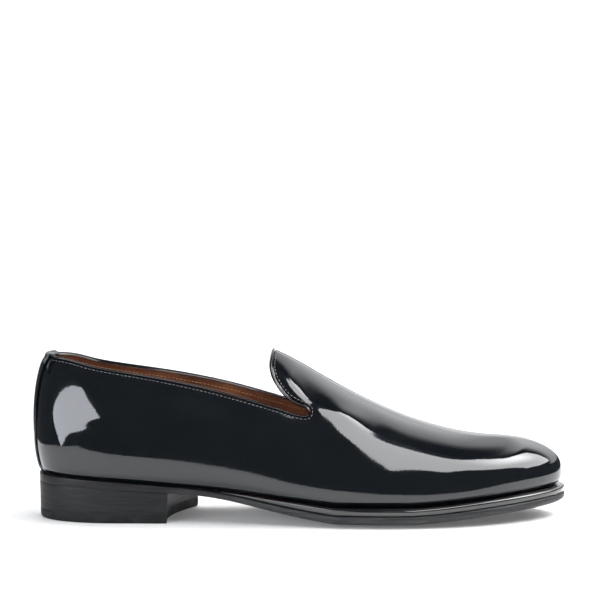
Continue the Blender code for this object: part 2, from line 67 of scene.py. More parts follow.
# The last: half-widths at its widest line, that line's height, the crest's height, the pull of the section's
# curve up the side and in over the top, and how far the feather line lies inside the widest line
SECTION_COLUMNS = (
    "station", "lateral", "medial", "equator", "crest", "side", "top", "tuck_lateral", "tuck_medial")
LAST_SECTIONS = (
    (1.2, 34.6, 34.6, 49.0, 105.0, 0.76, 0.71, 4.6, 4.6),
    (34.0, 34.9, 34.6, 41.5, 105.0, 0.42, 0.46, 3.4, 3.4),
    (60.0, 34.9, 34.0, 38.0, 104.0, 0.47, 0.43, 3.2, 3.6),
    (90.0, 35.8, 33.0, 34.0, 107.0, 0.55, 0.48, 4.2, 5.4),
    (115.0, 38.4, 33.6, 28.5, 106.0, 0.60, 0.50, 4.6, 6.2),
    (137.0, 42.2, 36.2, 23.5, 96.2, 0.57, 0.46, 3.8, 5.2),
    (152.0, 44.6, 39.4, 20.0, 87.9, 0.55, 0.45, 3.0, 3.8),
    (166.0, 46.6, 42.6, 18.0, 79.0, 0.55, 0.46, 2.4, 2.8),
    (180.0, 48.2, 45.6, 17.0, 70.3, 0.57, 0.48, 2.1, 2.2),
    (195.0, 48.9, 47.8, 16.5, 62.7, 0.59, 0.51, 1.9, 1.9),
    (209.0, 48.6, 48.8, 16.5, 57.2, 0.61, 0.54, 1.8, 1.8),
    (226.0, 46.8, 48.2, 17.0, 51.9, 0.63, 0.57, 1.7, 1.7),
    (243.0, 44.4, 46.6, 18.6, 47.7, 0.64, 0.59, 1.7, 1.7),
    (260.0, 41.6, 44.0, 21.0, 45.6, 0.63, 0.60, 1.6, 1.6),
    (275.0, 38.2, 41.0, 22.8, 45.0, 0.62, 0.60, 1.5, 1.5),
    (288.0, 35.0, 38.2, 24.2, 44.4, 0.60, 0.58, 1.4, 1.4),
    (301.0, 32.0, 35.2, 25.6, 43.6, 0.58, 0.56, 1.3, 1.3),
)

# The cut edge of the upper, from the heel back to the throat and up the tongue. The foot is the station where
# the mesh line from that point reaches the widest line, heading is the way it sets out in plan, in degrees
# outward of straight ahead, and steps counts the mesh lines to the next row.
RIM_COLUMNS = ("station", "height", "foot", "heading", "steps")
RIM_ROWS = (
    (1.2, 91.0, 1.2, 90, 20),
    (9.0, 90.5, 9.0, 90, 20),
    (34.0, 86.3, 34.0, 90, 20),
    (74.0, 79.7, 74.0, 90, 16),
    (107.0, 72.9, 107.0, 90, 12),
    (129.0, 67.0, 130.0, 85, 9),
    (144.0, 62.4, 148.0, 75, 9),
    (152.5, 60.0, 160.0, 60, 9),
    (157.2, 60.6, 170.0, 25, 9),
    (157.6, 63.4, 183.0, -10, 9),
    (151.4, 67.9, 203.0, -30, 12),
    (144.3, 72.8, 232.0, -22, 9),
    (140.3, 77.9, 252.0, -14, 12),
    (137.6, 83.0, 270.0, -7, 16),
    (136.8, 89.0, 290.0, -2, 20),
    (138.4, 94.3, 301.0, 0, 0),
)
LAST_REAR_ROW = 4
UPPER_SIDE_ROWS = 44
UPPER_TUCK_ROWS = 24
TUCK_ANGLE = math.radians(62)
ROUTE_POWER = 1.8
ROUTE_REACH = 0.45

# The bottom: half-widths of its edge, height of the walking face on the centre line, lift of its edge above
# that, thickness of the outsole at its edge, and the rise of the welt's top above the outsole
SOLE_COLUMNS = ("station", "lateral", "medial", "bottom", "crown", "thickness", "rise")
SOLE_SECTIONS = (
    (3.8, 31.2, 31.2, 20.6, 0.0, 4.6, 0.0),
    (40.0, 32.6, 32.4, 19.2, 0.0, 4.4, 0.0),
    (60.0, 32.8, 31.6, 18.2, 0.0, 4.0, 0.0),
    (76.0, 32.6, 30.0, 17.2, 0.0, 3.6, 0.0),
    (96.0, 32.6, 27.6, 15.2, 0.2, 3.4, 0.4),
    (110.0, 33.6, 27.0, 12.8, 0.5, 3.5, 1.2),
    (122.0, 35.8, 27.8, 10.0, 1.0, 3.6, 2.1),
    (134.0, 38.8, 30.2, 7.0, 1.5, 3.8, 3.0),
    (147.0, 42.4, 34.4, 4.0, 2.0, 4.1, 3.8),
    (160.0, 46.0, 39.4, 1.6, 2.3, 4.3, 4.2),
    (172.0, 48.8, 43.8, 0.0, 2.4, 4.4, 4.3),
    (193.0, 51.5, 49.2, -0.7, 2.4, 4.4, 4.3),
    (214.0, 51.2, 51.5, 0.0, 2.4, 4.4, 4.3),
    (232.0, 48.9, 50.7, 1.4, 2.2, 4.4, 4.3),
    (249.0, 46.2, 48.8, 3.4, 1.8, 4.4, 4.3),
    (266.0, 43.0, 45.8, 5.4, 1.3, 4.4, 4.3),
    (284.0, 38.8, 41.8, 7.3, 0.8, 4.4, 4.3),
    (302.6, 34.6, 37.4, 9.3, 0.3, 4.4, 4.3),
)
WIDEST_LATERAL = 193.0
WIDEST_MEDIAL = 214.0
FLAT_SHARE = 0.45
SOLE_STEPS = 150
SOLE_RINGS = (0.0, 0.2, 0.45, 0.6, 0.72, 0.8, 0.88, 0.94)

# Edge profiles as (share of the height, inset in millimetres), top to bottom
OUTSOLE_EDGE = (
    (1.0, 0.9), (0.96, 0.5), (0.88, 0.2), (0.76, 0.05), (0.62, 0.0), (0.48, 0.0), (0.34, 0.2), (0.2, 0.65),
    (0.08, 1.3), (0.0, 2.1))
WELT_EDGE = (
    (1.0, 2.0), (0.97, 1.4), (0.92, 0.85), (0.84, 0.4), (0.75, 0.12), (0.64, 0.0), (0.5, 0.0), (0.36, 0.05),
    (0.22, 0.18), (0.1, 0.4), (0.0, 0.8))
TOP_PIECE_EDGE = ((1.0, 0.1), (0.95, 0.0), (0.85, 0.0), (0.3, 0.1), (0.12, 0.35), (0.0, 0.9))
SQUARE_EDGE = 0.12
SQUARE_END = 84.0
ROUND_START = 104.0
WELT_START = 108.0
WELT_INNER = 0.80

# The heel: the front corners of its concave breast, how deep the curve is, its lifts and the rubber layer
BREAST_LATERAL = 78.2
BREAST_MEDIAL = 93.0
BREAST_HOLLOW = 5.0
BREAST_STEPS = 24
HEEL_CORNER = 1.0
HEEL_MIDDLE = 44.0
HEEL_RINGS = (0.0, 0.5, 0.85)
TOP_PIECE_HEIGHT = 5.2
HEEL_TAPER = 0.4
HEEL_JOINT = 0.05
HEEL_LIFTS = 4
LIFT_GROOVE_DEPTH = 0.05
LIFT_GROOVE_SHARE = 0.03
STACK_BEVEL = 0.1
STACK_BEVEL_SHARE = 0.03

# The bound edge, and the strip over the back seam that folds over it
BEAD_OVERHANG = 0.35
BEAD_HALF_HEIGHT = 0.8
BEAD_SIDES = 20
FOLD_START = math.radians(165)
FOLD_END = math.radians(235)
FOLD_STEPS = 8
FOLD_THICKNESS = 0.12
STAY_REACH = 12
STAY_FOOT_SHARE = 0.75
STAY_FOOT_LIFT = 0.3
STAY_THICKNESS = 0.8
STAY_FOLD_STEPS = 16
STAY_INSIDE_ROWS = 8

# Soft troughs (depth below 0) and ridges in the leather, alike on both sides: centre in the side view,
# direction in degrees above straight ahead, half-length, half-width and depth. Tongue, throat and vamp come
# first, then the small swells of the counter.
CREASE_COLUMNS = ("station", "height", "angle", "length", "width", "depth")
CREASES = (
    (146.8, 77.0, -50.0, 16.0, 4.0, 1.3),
    (169.0, 61.8, -16.0, 16.0, 4.5, 1.45),
    (184.0, 56.0, 90.0, 25.0, 28.0, 1.5),
    (190.0, 57.5, -36.0, 14.0, 5.5, -0.40),
    (40.0, 61.0, 15.0, 11.0, 4.5, 0.28),
    (22.0, 63.0, 60.0, 9.0, 4.0, -0.22),
    (28.0, 51.0, -10.0, 9.0, 4.0, 0.20),
    (54.0, 66.0, -30.0, 9.0, 4.5, -0.25),
    (14.0, 54.0, 80.0, 8.0, 4.0, 0.18),
)

# The stitched edge pulls the leather in: how deep at the cut edge, and over what distance below it
EDGE_ROLL_DEPTH = 0.5
EDGE_ROLL_REACH = 2.6

# At its foot the leather is drawn in under the last: how deep at the feather, and how far above it
FEATHER_DEPTH = 1.5
FEATHER_REACH = 2.0

# The lining ends a few mesh rows above the feather and turns in to the insole, whose edge lies at a share of
# the bottom's width
LINING_FIRST_ROW = 3
MARGIN_SHARE = 0.82
MARGIN_THICKNESS = 0.6

# Stitching: the rows' distance from the cut edge, one stitch's pitch, length and thread radius, how blunt its
# ends are, and the stretch either side of the back seam that the strip covers
STITCH_DROP = 1.0
LINING_STITCH_DROP = 2.6
STITCH_PITCH = 2.3
STITCH_LENGTH = 1.55
THREAD_RADIUS = 0.26
THREAD_SIDES = 8
THREAD_RINGS = 6
THREAD_BLUNTNESS = 0.12
COVERED_BACK = 14.0

BISECTION_ROUNDS = 40
OUTLINE_SAMPLES = 3000
SLOPE_STEP = 0.05
LEAST_STEP = 1.0
WELD = 0.01
SHARP_ANGLE = math.radians(50)


# The last's surface

def smooth_curve(stations, values):
    """Natural cubic spline through the rows of a table, as a function of the station."""
    knots = np.asarray(stations, float)
    levels = np.asarray(values, float)
    gaps = np.diff(knots)
    slopes = np.diff(levels) / gaps
    system = np.eye(len(knots))
    target = np.zeros(len(knots))
    for row in range(1, len(knots) - 1):
        system[row, row - 1:row + 2] = gaps[row - 1], 2 * (gaps[row - 1] + gaps[row]), gaps[row]
        target[row] = 6 * (slopes[row] - slopes[row - 1])
    bends = np.linalg.solve(system, target)

    def value(station):
        station = np.clip(station, knots[0], knots[-1])
        cell = np.clip(np.searchsorted(knots, station, side="right") - 1, 0, len(gaps) - 1)
        ahead = (station - knots[cell]) / gaps[cell]
        behind = 1 - ahead
        swell = (behind ** 3 - behind) * bends[cell] + (ahead ** 3 - ahead) * bends[cell + 1]
        return behind * levels[cell] + ahead * levels[cell + 1] + swell * gaps[cell] ** 2 / 6

    return value


def table_curves(columns, rows):
    """One smooth function of the station for each column of a table."""
    table = np.array(rows, float)
    return {name: smooth_curve(table[:, 0], table[:, index]) for index, name in enumerate(columns) if index}


LAST = table_curves(SECTION_COLUMNS, LAST_SECTIONS)
SOLE = table_curves(SOLE_COLUMNS, SOLE_SECTIONS)
RIM = dict(zip(RIM_COLUMNS, np.array(RIM_ROWS, float).T))
REAR_END = RIM["foot"][LAST_REAR_ROW]
CENTRE_LINE = (SOLE["medial"](WIDEST_MEDIAL) - SOLE["lateral"](WIDEST_LATERAL)) / 2


def side_name(side):
    return "medial" if side == MEDIAL else "lateral"


def end_cap(station, start, end, power):
    """Falls from 1 at the start to 0 at the end, as a superellipse does."""
    share = np.clip((np.asarray(station, float) - start) / (end - start), 0, 1)
    return (1 - share ** power) ** (1 / power)


def last_width(station, side):
    """Half-width of the last at its widest line."""
    heel = end_cap(station, HEEL_CAP_START, UPPER_BACK, HEEL_CAP_POWER)
    toe = end_cap(station, TOE_CAP_START, UPPER_TIP, TOE_CAP_POWER)
    return LAST[side_name(side)](station) * heel * toe


def sole_width(station, side):
    heel = end_cap(station, HEEL_CAP_START, SOLE_BACK, HEEL_CAP_POWER)
    toe = end_cap(station, TOE_CAP_START, SHOE_LENGTH, TOE_CAP_POWER)
    return SOLE[side_name(side)](station) * heel * toe


def crest_height(station):
    nose = end_cap(station, NOSE_START, UPPER_TIP, NOSE_POWER)
    return LAST["equator"](station) + (LAST["crest"](station) - LAST["equator"](station)) * nose


def sole_bottom(station):
    """Walking face on the centre line, flat on the floor under the ball."""
    return np.maximum(SOLE["bottom"](station), 0.0)


def outsole_top(station):
    return sole_bottom(station) + SOLE["crown"](station) + SOLE["thickness"](station)


def welt_top(station):
    return outsole_top(station) + SOLE["rise"](station)


def feather_height(station):
    """Bottom edge of the upper, just clear of the welt or the outsole."""
    return welt_top(station) + GAP


def section_curve(share, side_pull, top_pull):
    """Width and height of a section, both from 0 to 1, along a cubic from the widest line to the crest."""
    rest = 1 - share
    width = rest ** 3 + 3 * rest ** 2 * share + 3 * rest * share ** 2 * top_pull
    height = 3 * rest ** 2 * share * side_pull + 3 * rest * share ** 2 + share ** 3
    return width, height


def find_share(station, wanted, use_height):
    """Share along a section's curve at which its width or height has the wanted value."""
    wanted = np.asarray(wanted, float)
    side_pull, top_pull = LAST["side"](station), LAST["top"](station)
    low = np.zeros_like(wanted)
    high = np.ones_like(wanted)
    for _ in range(BISECTION_ROUNDS):
        middle = (low + high) / 2
        width, height = section_curve(middle, side_pull, top_pull)
        go_up = height < wanted if use_height else width > wanted
        low = np.where(go_up, middle, low)
        high = np.where(go_up, high, middle)
    return (low + high) / 2


def heel_spine(station):
    """Station a column stands about: its own, or the heel's centre further back, with a soft change."""
    return station + SPINE_SOFTNESS * np.log1p(np.exp((HEEL_CENTRE - station) / SPINE_SOFTNESS))


def share_at_height(station, height):
    """Share along a column's curve at which it reaches a height."""
    equator = LAST["equator"](station)
    rise = crest_height(heel_spine(station)) - equator
    return find_share(station, (height - equator) / rise, True)


def last_point(station, side, share):
    """Point of the last on the column that starts at a station of the widest line."""
    width, rise = section_curve(share, LAST["side"](station), LAST["top"](station))
    spine = heel_spine(station)
    equator = LAST["equator"](station)
    crest = crest_height(spine)
    return np.stack([
        spine + (station - spine) * width,
        side * last_width(station, side) * width,
        equator + (crest - equator) * rise], axis=-1)


def rear_line(foot, height, side, rows):
    """Mesh line up the counter or quarter, from the widest line to the cut edge."""
    return last_point(foot, side, np.linspace(0, 1, rows + 1) * share_at_height(foot, height))


def front_line(station, height, foot, heading, side, rows):
    """Mesh line over the vamp from the widest line to the cut edge, curved in plan so that it leaves throat
    and tongue squarely."""
    rim_share = share_at_height(station, height)
    rim_width = section_curve(rim_share, LAST["side"](station), LAST["top"](station))[0]
    rim_offset = last_width(station, side) * rim_width
    travel = np.linspace(0, 1, rows + 1) ** ROUTE_POWER
    foot_offset = last_width(foot, side)
    reach = ROUTE_REACH * math.hypot(foot - station, foot_offset - rim_offset)
    pull_along = station + reach * math.cos(heading)
    pull_across = rim_offset + reach * math.sin(heading)
    near, middle, far = travel ** 2, 2 * travel * (1 - travel), (1 - travel) ** 2
    along = near * station + middle * pull_along + far * foot
    across = near * rim_offset + middle * pull_across + far * foot_offset
    half_width = np.maximum(last_width(along, side), WELD)
    share = find_share(along, np.clip(across / half_width, 0, 1), False)
    share[0] = 0.0
    equator = LAST["equator"](along)
    rise = section_curve(share, LAST["side"](along), LAST["top"](along))[1]
    heights = equator + (crest_height(along) - equator) * rise
    return np.stack([along, side * across, heights], axis=-1)


def outline_normal(station, side):
    """Outward direction in plan at the widest line."""
    behind = max(station - SLOPE_STEP, UPPER_BACK)
    ahead = min(station + SLOPE_STEP, UPPER_TIP)
    run = ahead - behind
    climb = last_width(ahead, side) - last_width(behind, side)
    return np.array([-climb, side * run]) / math.hypot(run, climb)


def tuck_line(foot, side, rows):
    """Mesh line under the widest line, curving in to the feather edge."""
    normal = outline_normal(foot, side)
    start = np.array([foot, side * last_width(foot, side)])
    tuck = LAST["tuck_" + side_name(side)](foot)
    angles = TUCK_ANGLE * np.linspace(1, 0, rows + 1)[:-1]
    inset = tuck * (1 - np.cos(angles)) / (1 - math.cos(TUCK_ANGLE))
    plan = start[None, :] - inset[:, None] * normal[None, :]
    feather = feather_height(start[0] - tuck * normal[0])
    drop = (LAST["equator"](foot) - feather) * np.sin(angles) / math.sin(TUCK_ANGLE)
    return np.column_stack([plan, LAST["equator"](foot) - drop])


def outline_arc(width, back, tip):
    """Stations along an outline from heel to toe, and the length of outline up to each."""
    stations = back + (tip - back) * (1 - np.cos(np.linspace(0, math.pi, OUTLINE_SAMPLES))) / 2
    widths = width(stations, LATERAL)
    arc = np.concatenate([[0], np.cumsum(np.hypot(np.diff(stations), np.diff(widths)))])
    return stations, arc


def rim_curve():
    """Station, height, foot and heading of each mesh line on one side, from heel back to tongue."""
    index = np.arange(len(RIM_ROWS))
    marks = [row + np.arange(steps) / steps for row, steps in enumerate(RIM["steps"][:-1])]
    marks = np.concatenate(marks + [index[-1:]])
    stations, arc = outline_arc(last_width, UPPER_BACK, UPPER_TIP)
    foot = np.interp(np.interp(marks, index, np.interp(RIM["foot"], stations, arc)), arc, stations)
    forward, upward = np.diff(RIM["station"], prepend=UPPER_BACK), np.diff(RIM["height"], prepend=0.0)
    travel = np.cumsum(np.hypot(forward, upward))
    spot = np.interp(marks, index, travel)
    rear = foot <= REAR_END
    spot = np.where(rear, np.interp(foot, RIM["foot"], travel), spot)
    station = np.where(rear, foot, smooth_curve(travel, RIM["station"])(spot))
    heading = np.radians(np.interp(spot, travel, RIM["heading"]))
    return station, smooth_curve(travel, RIM["height"])(spot), foot, heading


def upper_line(station, height, foot, heading, side):
    """One whole mesh line of the upper, from the feather edge to the cut edge."""
    if foot <= REAR_END:
        wall = rear_line(foot, height, side, UPPER_SIDE_ROWS)
    else:
        wall = front_line(station, height, foot, heading, side, UPPER_SIDE_ROWS)
    return np.concatenate([tuck_line(foot, side, UPPER_TUCK_ROWS), wall])


def upper_grid():
    """Closed ring of mesh lines: heel back, lateral side, toe, medial side."""
    rows = list(zip(*rim_curve()))
    lateral = [upper_line(*row, LATERAL) for row in rows]
    medial = [upper_line(*row, MEDIAL) for row in rows[1:-1]]
    return np.array(lateral + medial[::-1])


def grid_normals(grid):
    """Outward unit normals of a grid whose first index runs round the shoe and second one up."""
    around = np.roll(grid, -1, axis=0) - np.roll(grid, 1, axis=0)
    upward = np.gradient(grid, axis=1)
    normals = np.cross(around, upward)
    return normals / np.linalg.norm(normals, axis=-1, keepdims=True)


def creased(grid):
    """The grid pushed along its normals by the creases and the stitched edge, and drawn in at the feather."""
    station, height = grid[..., 0], grid[..., 2]
    push = np.zeros(grid.shape[:2])
    for row in CREASES:
        crease = dict(zip(CREASE_COLUMNS, row))
        angle = math.radians(crease["angle"])
        ahead, above = station - crease["station"], height - crease["height"]
        along = (ahead * math.cos(angle) + above * math.sin(angle)) / crease["length"]
        across = (above * math.cos(angle) - ahead * math.sin(angle)) / crease["width"]
        push += crease["depth"] * np.exp(-along ** 2 - across ** 2)
    steps = np.linalg.norm(np.diff(grid[:, ::-1], axis=1), axis=2)
    below_rim = np.concatenate([np.zeros((len(grid), 1)), np.cumsum(steps, axis=1)], axis=1)[:, ::-1]
    push -= EDGE_ROLL_DEPTH * np.exp(-(below_rim / EDGE_ROLL_REACH) ** 2)
    normals = grid_normals(grid)
    pull = FEATHER_DEPTH * np.exp(-((height - height[:, :1]) / FEATHER_REACH) ** 2)
    level_ways = normals * [1.0, 1.0, 0.0]
    level_ways /= np.linalg.norm(level_ways, axis=-1, keepdims=True)
    return grid + normals * push[..., None] - level_ways * pull[..., None]


def rim_ways(grid, normals):
    """The way that points off the rim, square to rim and normal, at each mesh line."""
    along = np.roll(grid[:, -1], -1, axis=0) - np.roll(grid[:, -1], 1, axis=0)
    ways = np.cross(normals[:, -1], along)
    return ways / np.linalg.norm(ways, axis=-1, keepdims=True)


# Mesh helpers

def make_piece(name, points, faces, material, replaced=()):
    """Mesh piece in metres, centred as the solids are, that rides the shoe."""
    mesh = bpy.data.meshes.new(name)
    centred = (np.asarray(points) - [SHOE_LENGTH / 2, CENTRE_LINE, 0.0]) * MM
    mesh.from_pydata(centred.tolist(), [], faces)
    edit = bmesh.new()
    edit.from_mesh(mesh)
    bmesh.ops.remove_doubles(edit, verts=edit.verts, dist=WELD * MM)
    bmesh.ops.recalc_face_normals(edit, faces=edit.faces)
    edit.to_mesh(mesh)
    edit.free()
    mesh.shade_smooth()
    mesh.set_sharp_from_angle(angle=SHARP_ANGLE)
    mesh.materials.append(material)
    piece = bpy.data.objects.new(name, mesh)
    bpy.context.scene.collection.objects.link(piece)
    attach(piece, "root")
    if replaced:
        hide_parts(*replaced)
    return piece


def ring_faces(loops, size, closed_stack=False):
    """Quads between successive loops of equal size, numbered one loop after another."""
    faces = []
    for loop in range(loops if closed_stack else loops - 1):
        below, above = loop * size, (loop + 1) % loops * size
        for spot in range(size):
            after = (spot + 1) % size
            faces.append((below + spot, below + after, above + after, above + spot))
    return faces


def grid_shell(inner, outer, closed_round):
    """Points and faces of a sheet between two grids of the same shape, closed at all its edges."""
    lines, rows = outer.shape[:2]
    points = np.concatenate([outer.reshape(-1, 3), inner.reshape(-1, 3)])
    offset = lines * rows
    faces = []
    for line in range(lines if closed_round else lines - 1):
        after = (line + 1) % lines
        for row in range(rows - 1):
            near, far = line * rows + row, after * rows + row
            faces.append((near, far, far + 1, near + 1))
            faces.append((offset + near, offset + near + 1, offset + far + 1, offset + far))
        for row in (0, rows - 1):
            near, far = line * rows + row, after * rows + row
            faces.append((near, far, offset + far, offset + near))
    if not closed_round:
        for line in (0, lines - 1):
            for row in range(rows - 1):
                spot = line * rows + row
                faces.append((spot, spot + 1, offset + spot + 1, offset + spot))
    return points, faces


# Materials

# Noise textures have nearly all their values in the first span; threads and streaks use their own
NOISE_MIDDLE = (0.3, 0.7)
THREAD_SPAN = (0.35, 0.65)
STREAK_SPAN = (0.3, 0.72)


def set_inputs(tree, node, inputs):
    """Gives inputs of a node their values, or links them where the value is another node's output."""
    for name, value in inputs.items():
        if isinstance(value, bpy.types.NodeSocket):
            tree.links.new(value, node.inputs[name])
        else:
            node.inputs[name].default_value = value


def add_node(tree, kind, inputs):
    node = tree.nodes.new("ShaderNode" + kind)
    set_inputs(tree, node, inputs)
    return node


def new_material(name, colour, roughness):
    """Principled material; returns it with its node tree and shader."""
    material = bpy.data.materials.new(name)
    material.use_nodes = True
    tree = material.node_tree
    shader = tree.nodes["Principled BSDF"]
    set_inputs(tree, shader, {"Base Color": (*colour, 1.0), "Roughness": roughness})
    return material, tree, shader


def object_place(tree):
    return add_node(tree, "TexCoord", {}).outputs["Object"]


def object_coordinates(tree, scale=(1.0, 1.0, 1.0)):
    """Object coordinates in metres, stretched by a scale for each axis."""
    return add_node(tree, "Mapping", {"Vector": object_place(tree), "Scale": scale}).outputs["Vector"]


def axis_parts(tree):
    """The separate X, Y and Z of the object coordinates."""
    return add_node(tree, "SeparateXYZ", {"Vector": object_place(tree)}).outputs


def noise(tree, vector, scale, detail=3.0, roughness=0.5):
    inputs = {"Vector": vector, "Scale": scale, "Detail": detail, "Roughness": roughness}
    return add_node(tree, "TexNoise", inputs).outputs["Fac"]


def two_tone(tree, source, dark, light, span=NOISE_MIDDLE):
    """Colour that runs from dark to light while the source runs over a span."""
    node = add_node(tree, "ValToRGB", {"Fac": source})
    for element, position, colour in zip(node.color_ramp.elements, span, (dark, light)):
        element.position = position
        element.color = (*colour, 1.0)
    return node.outputs["Color"]


def map_range(tree, source, span, low, high, smooth=False):
    """Value that runs from low to high while the source runs over a span, and stays level outside it."""
    inputs = {"Value": source, "From Min": span[0], "From Max": span[1], "To Min": low, "To Max": high}
    node = add_node(tree, "MapRange", inputs)
    node.interpolation_type = "SMOOTHSTEP" if smooth else "LINEAR"
    return node.outputs["Result"]


def calculate(tree, operation, first, second):
    """One sum or product of two values."""
    node = add_node(tree, "Math", {0: first, 1: second})
    node.operation = operation
    return node.outputs["Value"]


def varied(tree, texture, low, high):
    """Value that a noise moves between two limits."""
    return map_range(tree, texture, NOISE_MIDDLE, low, high)


def bump(tree, height, strength, distance):
    inputs = {"Height": height, "Strength": strength, "Distance": distance}
    return add_node(tree, "Bump", inputs).outputs["Normal"]


def patent_material():
    """Black lacquered leather with a faint orange-peel surface."""
    material, tree, shader = new_material("patent_leather_skin", (0.0035, 0.0046, 0.0056), 0.08)
    where = object_coordinates(tree)
    clouds = noise(tree, where, scale=35.0)
    peel = bump(tree, noise(tree, where, scale=800.0, detail=2.0), strength=0.06, distance=0.0002)
    set_inputs(tree, shader, {
        "Base Color": two_tone(tree, clouds, dark=(0.0030, 0.0040, 0.0050), light=(0.0045, 0.0058, 0.0068)),
        "Roughness": varied(tree, noise(tree, where, scale=60.0), low=0.05, high=0.11),
        "Specular IOR Level": 0.25,
        "Coat Weight": 1.0,
        "Coat Roughness": 0.02,
        "Coat Tint": (0.93, 0.96, 1.0, 1.0),
        "Normal": peel,
        "Coat Normal": peel})
    return material


def thread_material():
    """Waxed black thread with a twist. Its colour is lifted to grey as a painted sheen, so that the stitches
    show as light dashes.
    """
    material, tree, shader = new_material("black_thread_painted_sheen", (0.120, 0.122, 0.128), 0.3)
    where = object_coordinates(tree)
    fibres = noise(tree, where, scale=900.0)
    set_inputs(tree, shader, {
        # Grey rather than black: painted sheen that stands in for the thread's highlights
        "Base Color": two_tone(tree, fibres, (0.050, 0.052, 0.056), (0.130, 0.132, 0.140), THREAD_SPAN),
        "Coat Weight": 0.6,
        "Coat Roughness": 0.15,
        "Normal": bump(tree, noise(tree, where, scale=2500.0), strength=0.4, distance=0.0001)})
    return material


def lining_material(name, dark, light):
    """Russet leather with pores and soft shade changes."""
    material, tree, shader = new_material(name, light, 0.5)
    where = object_coordinates(tree)
    pores = add_node(tree, "TexVoronoi", {"Vector": where, "Scale": 1400.0}).outputs["Distance"]
    set_inputs(tree, shader, {
        "Base Color": two_tone(tree, noise(tree, where, scale=55.0, detail=5.0), dark, light),
        "Roughness": varied(tree, noise(tree, where, scale=200.0), low=0.42, high=0.58),
        "Normal": bump(tree, pores, strength=0.25, distance=0.0002)})
    return material


def lining_thread_material():
    """Tan thread, dull."""
    material, tree, shader = new_material("tan_thread", (0.66, 0.42, 0.19), 0.6)
    fibres = noise(tree, object_coordinates(tree), scale=900.0)
    set_inputs(tree, shader, {
        "Base Color": two_tone(tree, fibres, (0.52, 0.31, 0.13), (0.78, 0.52, 0.25), THREAD_SPAN)})
    return material


def streaked_material(name, dark, light, smoothest, roughest, streak, rear_shade=1.0):
    """Waxed leather edge with fine streaks along the shoe, shaded over the heel."""
    material, tree, shader = new_material(name, light, roughest)
    stretched = object_coordinates(tree, (1.0, 1.0, streak))
    fine = noise(tree, stretched, scale=55.0, detail=6.0, roughness=0.65)
    broad = noise(tree, object_coordinates(tree), scale=45.0)
    heel_end = [(station - SHOE_LENGTH / 2) * MM for station in (BREAST_LATERAL, ROUND_START)]
    shade = map_range(tree, axis_parts(tree)["X"], heel_end, rear_shade, 1.0)
    tint = add_node(tree, "VectorMath", {0: two_tone(tree, fine, dark, light, STREAK_SPAN)})
    tint.operation = "SCALE"
    set_inputs(tree, tint, {"Scale": shade})
    set_inputs(tree, shader, {
        "Base Color": tint.outputs["Vector"],
        "Roughness": varied(tree, broad, smoothest, roughest),
        "Specular IOR Level": 0.2,
        "Coat Weight": 0.05,
        "Coat Roughness": 0.2,
        "Normal": bump(tree, fine, strength=0.25, distance=0.0003)})
    return material


def welt_material():
    """Black strip with a hard polish, duller here and there."""
    material, tree, shader = new_material("welt_polish", (0.006, 0.0065, 0.007), 0.2)
    where = object_coordinates(tree)
    clouds = noise(tree, where, scale=90.0)
    set_inputs(tree, shader, {
        "Base Color": two_tone(tree, clouds, dark=(0.004, 0.0045, 0.005), light=(0.012, 0.0125, 0.013)),
        "Roughness": varied(tree, noise(tree, where, scale=150.0), low=0.08, high=0.16),
        "Coat Weight": 1.0,
        "Coat Roughness": 0.05,
        "Normal": bump(tree, noise(tree, where, scale=500.0), strength=0.12, distance=0.0002)})
    return material


def rubber_material():
    """Dull black rubber, faintly mottled."""
    material, tree, shader = new_material("heel_rubber_skin", (0.012, 0.0125, 0.013), 0.6)
    where = object_coordinates(tree)
    clouds = noise(tree, where, scale=120.0)
    set_inputs(tree, shader, {
        "Base Color": two_tone(tree, clouds, dark=(0.008, 0.0085, 0.009), light=(0.018, 0.0185, 0.019)),
        "Roughness": varied(tree, noise(tree, where, scale=300.0), low=0.5, high=0.7),
        "Specular IOR Level": 0.2,
        "Normal": bump(tree, noise(tree, where, scale=1800.0), strength=0.2, distance=0.0002)})
    return material


# Upper, lining, binding and stay

def make_upper(grid, normals, material):
    points, faces = grid_shell(grid - PATENT_THICKNESS * normals, grid, True)
    return make_piece("upper_skin", points, faces, material, ("upper",))


def make_lining(grid, normals, material):
    """Inner leather of the wall, and its margin turned in to the edge of the insole."""
    inner = (grid - WALL * normals)[:, LINING_FIRST_ROW:]
    outer = (grid - (PATENT_THICKNESS + LINING_GAP) * normals)[:, LINING_FIRST_ROW:]
    points, faces = grid_shell(inner, outer, True)
    make_piece("lining", points, faces, material)
    start = inner[:, 0]
    edge = np.array(sole_loop(MARGIN_SHARE, 0.0, lambda station, share: 0.0))
    spans = np.linalg.norm(start[:, None, :2] - edge[None, :, :2], axis=2)
    end = edge[np.argmin(spans, axis=1)]
    end[:, 2] = start[:, 2]
    top = np.stack([start, end], axis=1)
    bottom = top - [0.0, 0.0, MARGIN_THICKNESS]
    points, faces = grid_shell(bottom, top, True)
    make_piece("lining_margin", points, faces, material)


def bead_ring(grid, normals, ways, turn):
    """Points round the opening at one turn about the bead's middle, and the ways out of the bead there."""
    centres = grid[:, -1] - normals[:, -1] * WALL / 2 + ways * (GAP + BEAD_HALF_HEIGHT)
    across, lift = normals[:, -1] * math.cos(turn), ways * math.sin(turn)
    return centres + across * (WALL / 2 + BEAD_OVERHANG) + lift * BEAD_HALF_HEIGHT, across + lift


def make_topline_binding(grid, normals, ways, material):
    """Rounded bead all round the opening, just clear of the wall's cut edge."""
    turns = 2 * math.pi * (np.arange(BEAD_SIDES) + 0.5) / BEAD_SIDES
    points = np.concatenate([bead_ring(grid, normals, ways, turn)[0] for turn in turns])
    faces = ring_faces(BEAD_SIDES, len(grid), True)
    return make_piece("binding_bead", points, faces, material, ("topline_binding",))


